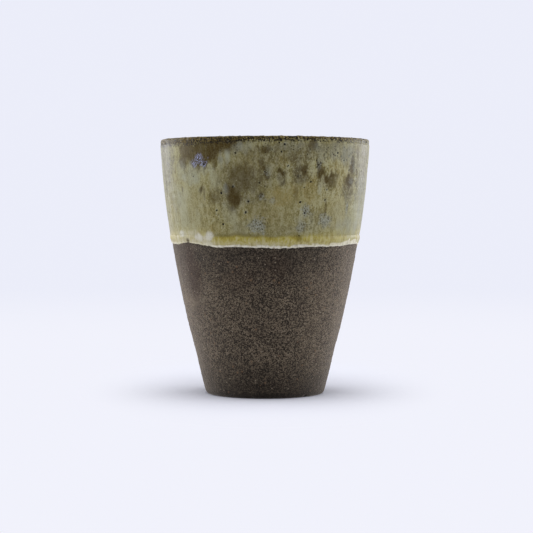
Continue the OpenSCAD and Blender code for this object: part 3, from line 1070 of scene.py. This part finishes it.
def melted_glaze(name, rough_low, rough_high):
    """The whole recipe, for a coat whose roughness goes from low to high."""
    f = Glaze(name)
    off_iron = f.level("iron", 0.2, 0.8, 1, 0.15)
    wash_cover = f.reckon("ADD", "lip", f.level(f.specks, 0.7, 0.3, -0.65, 0.65))
    halo = f.reckon("MULTIPLY", f.level("hole", 3.4, 1.6), f.level(f.runs, 0.42, 0.6))
    colour = f.layers(
        olive_body(f),
        (OCHRE_BROWN, "ochre", f.broken(0.2, 0.75)),
        # grey-brown marks, and painted shade on both upper flanks
        (SMOKE_AND_SHADE_GREY, "smoke_and_flank_shade", f.level(f.cells, 0.65, 0.3, 0.5, 1)),
        (amber_body(f), "amber"),
        # painted shade above the roll
        (SEAM_SHADE_OLIVE, "seam", f.level(f.cells, 0.25, 0.75, 0.45, 0.85)),
        (MILK_WHITE, "milk", f.level(f.cells, 0.3, 0.55, 0.6, 1)),
        (IRON_BROWN, "iron", f.level(f.fine, 0.75, 0.35, 0.8, 1)),
        # pale grey-green runs, and a painted rim light on the right edge
        (MIST_AND_RIM_LIGHT, "mist", f.level(f.runs, 0.3, 0.65, 0.35, 0.85)),
        # grey marks, and painted reflection on the far flanks
        (VEIL_AND_REFLECTION_GREY, "veil", f.level(f.runs, 0.3, 0.65, 0.4, 0.9)),
        (SPECK_BROWN, "restless", f.level(f.crystals, 0.47, 0.36, 0, 0.85)),
        (OLIVE_PALE, "restless", off_iron, f.level(f.crystals, 0.54, 0.64, 0, 0.75)),
        (FROST_GREY, "frost", f.level(f.crystals, 0.43, 0.57, 0.12, 0.95)),
        (NEAR_BLACK, "frost", f.level(f.crystals, 0.49, 0.39, 0, 0.85)),
        (BLOOM_DARK, "bloom", 0.5),
        (BLOOM_BLUE, "bloom", f.level(f.crystals, 0.49, 0.58)),
        (NEAR_BLACK, "pepper", f.grains(size=0.85 * MM, share=0.3, reach=0.42), 0.8),
        (OLIVE_PALE, f.grains(size=1.3 * MM, share=0.12, reach=0.3), 0.5),
        (SPECK_BROWN, f.grains(size=0.9 * MM, share=0.13, reach=0.34), 0.35),
        (pale_edge(f), "cream"),
        (FROST_GREY, halo, f.level(f.crystals, 0.44, 0.6, 0, 0.5)),
        (iron_wash(f), f.level(wash_cover, 0.42, 0.62), f.level("lip", 0, 0.25)),
        (NEAR_BLACK, f.level("hole", 1.6, 0.9)),
    )
    roughness = f.level(f.cells, 0.2, 0.8, rough_low, rough_high)
    return f.finish(colour, roughness, shine=0.1, height=f.fine, depth=GLAZE_TOOTH, strength=0.5)


print("glaze recipe ready")

# %% [markdown]
# ## Grey-green coat
# This is the face of the cup: the second dip, from the roll up to the rim. Its section is a thin
# skin whose lower edge tucks under the roll, closed along the clay. The marks then lift and sink its
# outer face.

# %% Helpers for coats
GLAZE_STEPS = 640
BACK_ROWS = 8


def coat_section(heights, lifts, sunk=0.0):
    """Section of a coat: its outer face going up, then its hidden back going down on the clay."""
    face = [(wall_radius(height) + lift, height) for height, lift in zip(heights, lifts)]
    back_heights = np.linspace(heights[-1], heights[0], BACK_ROWS)
    return face + [(wall_radius(height) - sunk, height) for height in back_heights]


def tucked(heights, low, tall, depth):
    """A lift that starts this deep under the neighbouring coat and comes up over it without a step."""
    return depth * (soft_step(heights, low, low + tall) - 1)


def lay_coat(piece, relief):
    """Lifts the points of a coat by the relief and shifts them with the dip line."""
    points, _, turn, _ = shape_of(piece.data)
    lift = np.hypot(points[:, 0], points[:, 1]) - wall_radius(points[:, 2]) + relief
    height = points[:, 2] + dip_shift(turn, points[:, 2])
    write_points(piece.data, around(turn, wall_radius(height) + lift, height))


print("steps around the glaze:", GLAZE_STEPS)

# %% Grey-green coat
OVER_ROW = 0.36 * MM
UNDER_RIM = 0.6 * MM
OVER_TUCK = 2 * MM
SEAM_RUN_OUT = 5 * MM
CALM_ROWS = 4
RELIEF = {"runs": 0.05 * MM, "pools": 0.06 * MM, "frost": 0.04 * MM, "iron": -0.05 * MM}
HOLE_DEEP = 0.18 * MM
HOLE_RIM = 1.5
EDGE_FILLED = 0.85
over_heights = np.arange(over_line, rim_line + UNDER_RIM, OVER_ROW)
over_lifts = coat_thick + tucked(over_heights, over_line, OVER_TUCK, coat_thick - base_thick / 2)
over = turned("grey_green_coat", coat_section(over_heights, over_lifts), GLAZE_STEPS)
marks = paint_marks(over)
relief = sum(depth * marks[name] for name, depth in RELIEF.items())
relief -= HOLE_DEEP * soft_step(HOLE_RIM - marks["hole"], 0, 1)

points, _, turn, row = shape_of(over.data)
points[:, 2] += seam_shift(turn) * np.clip(1 - (points[:, 2] - over_line) / SEAM_RUN_OUT, 0, 1) ** 2
write_points(over.data, points)
relief *= soft_step(row, 0, CALM_ROWS)
groove = coat_thick - np.interp(row, np.arange(len(over_lifts)), over_lifts)
relief += groove * np.where(row == 0, EDGE_FILLED, 1) * (1 - around_cup(turn, SEAM))
lay_coat(over, relief * (row < len(over_heights)))
dress(over, melted_glaze("grey_green_glaze", 0.24, 0.38), "over_glaze")
say_mm("glaze relief, lowest and highest", relief.min(), relief.max())

# %% [markdown]
# ## Amber roll
# The first dip reaches lower than the second and stays bare for a few millimetres. There it has run
# down and stopped in a fat roll, thick enough to look like honey. Its section follows the packed
# solid, and it carries on under the second coat as a thin skin.

# %% Amber roll
ROLL_ROW = 0.2 * MM
ROLL_LAP_LOW = 0.3 * MM
ROLL_LAP_HIGH = 0.8 * MM
HIDDEN_FROM = 1.5 * MM
HIDDEN_ROWS = 6
HIDDEN_SKIN = 0.03 * MM
SWELL = 0.1 * MM
FLAT_ROLL = 0.26 * MM
roll_heights = np.arange(cream_top - ROLL_LAP_LOW, over_line + ROLL_LAP_HIGH, ROLL_ROW)
hidden_heights = np.linspace(over_line + HIDDEN_FROM, rim_line, HIDDEN_ROWS)
on_solid = np.clip(roll_heights, cream_top + HAIR, None)
roll_lifts = [outer_radius("base_glaze", height) - wall_radius(height) for height in on_solid]
amber_heights = np.concatenate([roll_heights, hidden_heights])
amber_lifts = np.concatenate([roll_lifts, np.full(len(hidden_heights), HIDDEN_SKIN)])
amber = turned("amber_roll", coat_section(amber_heights, amber_lifts), GLAZE_STEPS)
paint_marks(amber)

points, _, turn, row = shape_of(amber.data)
height = points[:, 2]
swell = lumps(around(turn, wall_radius(height), 0.3 * height), 4 * MM, octaves=2)
on_roll = np.sin(np.clip((height - cream_top) / (over_line - cream_top), 0, 1) * math.pi)
rolling = (SWELL * swell - FLAT_ROLL * around_cup(turn, MELTED)) * on_roll
lay_coat(amber, rolling * (row < len(roll_heights)))
dress(amber, melted_glaze("amber_glaze", 0.3, 0.42), "base_glaze")

# %% [markdown]
# ## Pale line
# At its very edge the glaze is too thin to melt well and stays milky. It ends in a jagged line of
# little teeth on the clay, so the lower edge gets a finer wave of its own.

# %% Pale line
CREAM_ROWS = 10
CREAM_LAP = 0.35 * MM
CREAM_SUNK = 0.12 * MM
CREAM_EDGE_TALL = 0.7 * MM
CREAM_DOWN = 0.04 * MM
CREAM_RELIEF = 0.04 * MM
TEETH = 0.3 * MM
cream_heights = np.linspace(glaze_line, cream_top + CREAM_LAP, CREAM_ROWS)
edge_thick = outer_radius("cream_edge", cream_top - HAIR) - wall_radius(cream_top)
up_the_edge = np.clip((cream_heights - glaze_line + 2 * HAIR) / CREAM_EDGE_TALL, 0, 1)
cream_lifts = edge_thick * np.sqrt(1 - (1 - up_the_edge) ** 2) - CREAM_DOWN
cream = turned("pale_line", coat_section(cream_heights, cream_lifts, CREAM_SUNK), GLAZE_STEPS)
paint_marks(cream)

points, _, turn, _ = shape_of(cream.data)
at_edge = np.clip((cream_top - points[:, 2]) / (cream_top - glaze_line), 0, 1)
points[:, 2] -= TEETH * at_edge * np.abs(lumps(wall_line(turn, glaze_line), 1.7 * MM, octaves=3))
write_points(cream.data, points)
lay_coat(cream, CREAM_RELIEF * lumps(points, 1.2 * MM, octaves=2))
dress(cream, melted_glaze("cream_glaze", 0.3, 0.45), "cream_edge")

# %% [markdown]
# ## Iron rim
# The lip was dipped once more in a thin iron wash. It boils and pits over the sharp edge, and that
# rough, speckled band is the darkest part of the glaze. Its section wraps round the lip, from the
# outside to the liner, and its lower edge fades into the coat below by colour.

# %% Iron rim
RIM_LAP = 0.3 * MM
RIM_OVER = 0.02 * MM
RIM_TUCK = 0.14 * MM
RIM_LIP = 1.2 * MM
LIP_ROWS = 7
RIM_ROWS = 6
RIM_CALM = 0.6 * MM
BOIL_SIZE = 1.2 * MM
BOIL_UP = 0.2 * MM
BOIL_ABOVE = 0.7
BURST_DOWN = 0.35 * MM
BURST_BELOW = 0.3
RIM_WAVE = 0.08 * MM
RIM_WORN = 0.2 * MM


def lip_section(node, count, over=0.0, tuck=0.0):
    """Outline of a solid's lip, from below its edge outside over to the inside. It stands over the
    solid by a little, and at its lower edges it tucks into the coats that it laps."""
    bottom, top = (corner.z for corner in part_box(node))
    low = rim_line - RIM_LAP
    straight = np.linspace(low, top - RIM_LIP, count, endpoint=False)
    heights = np.concatenate([straight, lip_heights(top - RIM_LIP, top, LIP_ROWS)])
    within = np.clip(heights, bottom + HAIR, None)
    lifts = over + tucked(heights, low, 3 * RIM_LAP, tuck)
    up = [(outer_radius(node, z) + lift, at) for z, at, lift in zip(within, heights, lifts)]
    down = [(inner_radius(node, z) - lift, at) for z, at, lift in zip(within, heights, lifts)]
    across = [(radius, top) for radius in np.linspace(up[-1][0], down[-1][0], LIP_ROWS)[1:-1]]
    return up + across + down[::-1]


rim_face = lip_section("rim_glaze", RIM_ROWS, RIM_OVER, RIM_TUCK)
rim_back = lip_section("stoneware_body", 1)[::-1]
rim = turned("iron_rim", rim_face + rim_back, GLAZE_STEPS)
paint_marks(rim)

points, normals, _, row = shape_of(rim.data)
boil, lot = grit(points, BOIL_SIZE)
move = BOIL_UP * boil * (lot > BOIL_ABOVE)
move -= BURST_DOWN * soft_step(boil, 0.1, 0.6) * (lot < BURST_BELOW)
move += RIM_WAVE * lumps(points, 2.2 * MM, octaves=2) - RIM_WORN
move *= soft_step(points[:, 2], rim_line - RIM_LAP, rim_line + RIM_CALM) * (row < len(rim_face))
write_points(rim.data, points + normals * move[:, None])
dress(rim, melted_glaze("iron_rim_glaze", 0.3, 0.5), "rim_glaze")

# %% [markdown]
# ## Liner
# Tea needs a smooth wall, so the inside is glazed down to the floor. The potter's fingers left a
# slow spiral in the clay, and the glaze runs thin over its ridges and pools in the well, where it
# is darkest.

# %% Liner
LINER_STEPS = 352
LINER_ROW = 0.75 * MM
LINER_RINGS = 26
LINER_BACK_ROWS = 10
LINER_BACK_RADIUS = 18 * MM
LINER_BACK_RINGS = 5
WELL_RADIUS = 20 * MM
SPIRAL_STEP = 8 * MM
SPIRAL_DEPTH = 0.08 * MM
SPIRAL_FROM = 6 * MM
SPIRAL_TO = 12 * MM
RIPPLE = 0.05 * MM
POOL_TALL = 9 * MM
liner_floor = floor_height("inner_glaze", 0)
well_top = floor_height("inner_glaze", WELL_RADIUS)
bore_heights = np.arange(well_top + LINER_ROW, rim_line + UNDER_RIM, LINER_ROW)
on_solid = np.clip(bore_heights, None, rim_line - 5 * HAIR)
well = np.linspace(0, WELL_RADIUS, LINER_RINGS)
liner_face = [(radius, floor_height("inner_glaze", radius)) for radius in well]
liner_face += [(inner_radius("inner_glaze", height), at) for height, at in zip(on_solid, bore_heights)]
back_heights = np.linspace(bore_heights[-1], well_top, LINER_BACK_ROWS)
back_radii = np.linspace(LINER_BACK_RADIUS, 0, LINER_BACK_RINGS)
liner_back = [(inner_radius("stoneware_body", height), height) for height in back_heights]
liner_back += [(radius, floor_height("stoneware_body", radius)) for radius in back_radii]
liner = turned("liner", liner_face + liner_back, LINER_STEPS, ring=False)

points, normals, turn, row = shape_of(liner.data)
radius = np.hypot(points[:, 0], points[:, 1])
along = np.maximum(points[:, 2] - liner_floor, 0) + radius
spiral = np.sin(math.tau * along / SPIRAL_STEP + turn + 0.8 * lumps(points, 14 * MM))
spiral *= soft_step(radius, 0, SPIRAL_FROM) * soft_step(rim_line - points[:, 2], 0, SPIRAL_TO)
ripple = SPIRAL_DEPTH * spiral + RIPPLE * lumps(points, 5 * MM, octaves=2)
ripple *= row < len(liner_face)
write_points(liner.data, points + normals * ripple[:, None])
paint(liner.data, "ridge", np.clip(0.5 + 0.5 * spiral, 0, 1))
paint(liner.data, "pool", 1 - soft_step(points[:, 2], liner_floor, liner_floor + POOL_TALL))
say_mm("liner ripple, lowest and highest", ripple.min(), ripple.max())

# %% Finish of the liner
POOL_OLIVE = (0.12, 0.112, 0.045)
LINER_TOOTH = 0.04 * MM


def liner_glaze():
    f = Finish("liner_glaze")
    runs = f.clouds(2.4 * MM, 3, 0.6, upwards=5)
    cells = f.clouds(1.4 * MM, 3, 0.6)
    body = f.reckon("ADD", f.level(runs, 0.25, 0.75, 0.15, 0.8), f.level(cells, 0.25, 0.75, -0.2, 0.2))
    colour = f.layers(
        f.ramp(body, (0.05, OLIVE_THIN), (0.5, OLIVE), (1, OLIVE_PALE)),
        (OLIVE_THIN, f.level("ridge", 0.6, 1, 0, 0.3)),
        (POOL_OLIVE, f.level("pool", 0.1, 1, 0, 0.85)),
        (NEAR_BLACK, f.grains(size=3 * MM, share=0.14, reach=0.12)),
    )
    roughness = f.level(cells, 0.2, 0.8, 0.16, 0.28)
    return f.finish(colour, roughness, shine=0.35, height=cells, depth=LINER_TOOTH, strength=0.4)


dress(liner, liner_glaze(), "inner_glaze")

# %% [markdown]
# ## Size of the dressed cup
# The dressed cup has to stay as big as the imported one. Its box is printed here, and the imported box
# at the start.

# %% Size of the dressed cup
seen_low, seen_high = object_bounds()
say_mm("dressed cup", *(seen_high - seen_low))
